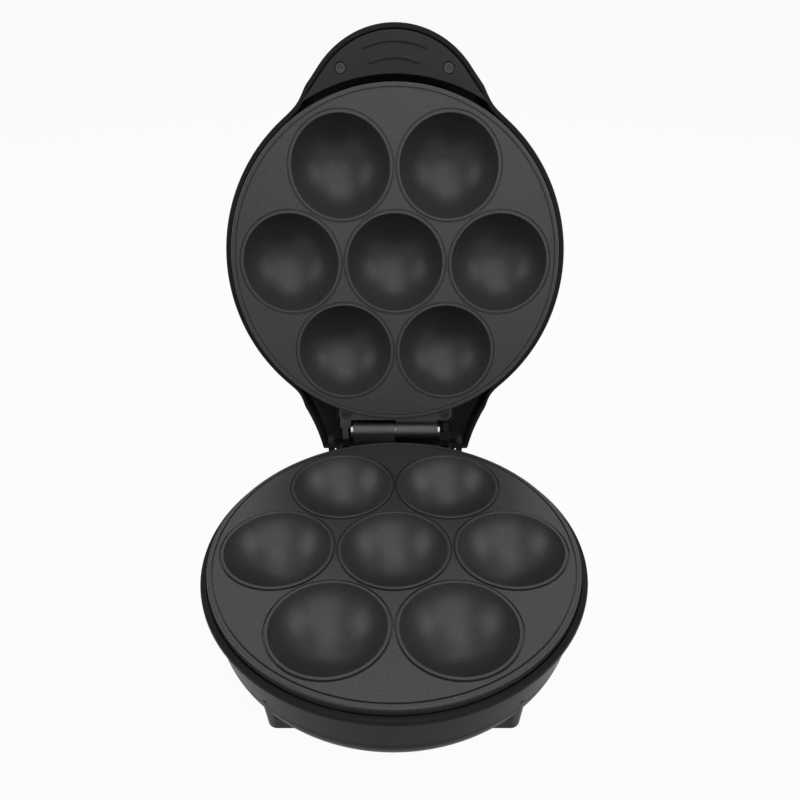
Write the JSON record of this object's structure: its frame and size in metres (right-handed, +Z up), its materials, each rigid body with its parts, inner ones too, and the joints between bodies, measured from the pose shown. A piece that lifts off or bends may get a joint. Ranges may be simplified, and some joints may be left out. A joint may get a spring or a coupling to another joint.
{
  "type": "cake pop maker",
  "caption": "Round countertop cake pop maker: a bowl-shaped base and a hinged lid with a round-ended handle, each carrying a coated plate of ball-shaped cups.",
  "frame": {"origin": "on the table under the middle of the outline, with the lid open", "axes": "+Z up, -Y towards the user, +X to the user's right; the hinge pin lies along X"},
  "size_m": [0.1968, 0.2826, 0.2721],
  "materials": {
    "housing_plastic": "black, finely grained moulding",
    "cover_plastic": "black, fine matt moulding",
    "coated_plate": "dark grey speckled non-stick coating on cast aluminium",
    "element_sheath": "dull oxidised steel sheath",
    "shield_steel": "plain sheet",
    "shield_aluminium": "plain sheet",
    "zinc_steel": "zinc plated",
    "black_steel": "black oxide",
    "hinge_steel": "dark, satin",
    "pin_steel": "satin",
    "pad_rubber": "matt",
    "gland_rubber": "matt",
    "thermostat_body": "moulded control body with a metal cap",
    "fuse_body": "pale sleeve",
    "block_plastic": "off-white moulding",
    "red_lens": "translucent red",
    "green_lens": "translucent green"
  },
  "bodies": {
    "base": {"base_housing": "housing_plastic", "bottom_cover": "cover_plastic", "bottom_cover_screws": "zinc_steel", "foot_pads": "pad_rubber", "base_cooking_plate": "coated_plate", "base_heating_element": "element_sheath", "base_heat_shield": "shield_steel", "base_plate_screws": "zinc_steel", "thermostat": "thermostat_body", "base_thermal_fuse": "fuse_body", "terminal_block": "block_plastic", "cord_clamp": "block_plastic", "cord_gland": "gland_rubber", "base_hinge_leaf": "hinge_steel", "base_hinge_screws": "black_steel", "hinge_pin": "pin_steel"},
    "lid": {"lid_housing": "housing_plastic", "lid_cooking_plate": "coated_plate", "lid_heating_element": "element_sheath", "lid_heat_shield": "shield_aluminium", "lid_plate_screws": "zinc_steel", "lid_thermal_fuse": "fuse_body", "handle_cover": "cover_plastic", "handle_cover_screws": "black_steel", "lid_hinge_leaf": "hinge_steel", "lid_hinge_screws": "black_steel", "power_lamp_lens": "red_lens", "ready_lamp_lens": "green_lens", "lamp_holder": "block_plastic"}
  },
  "joints": [
    {"name": "lid_hinge", "type": "hinge", "parent": "base", "child": "lid", "pos_m": [0, 0.05977, 0.05485], "axis": [1, 0, 0], "range_deg": [0, 105.6]}
  ]
}
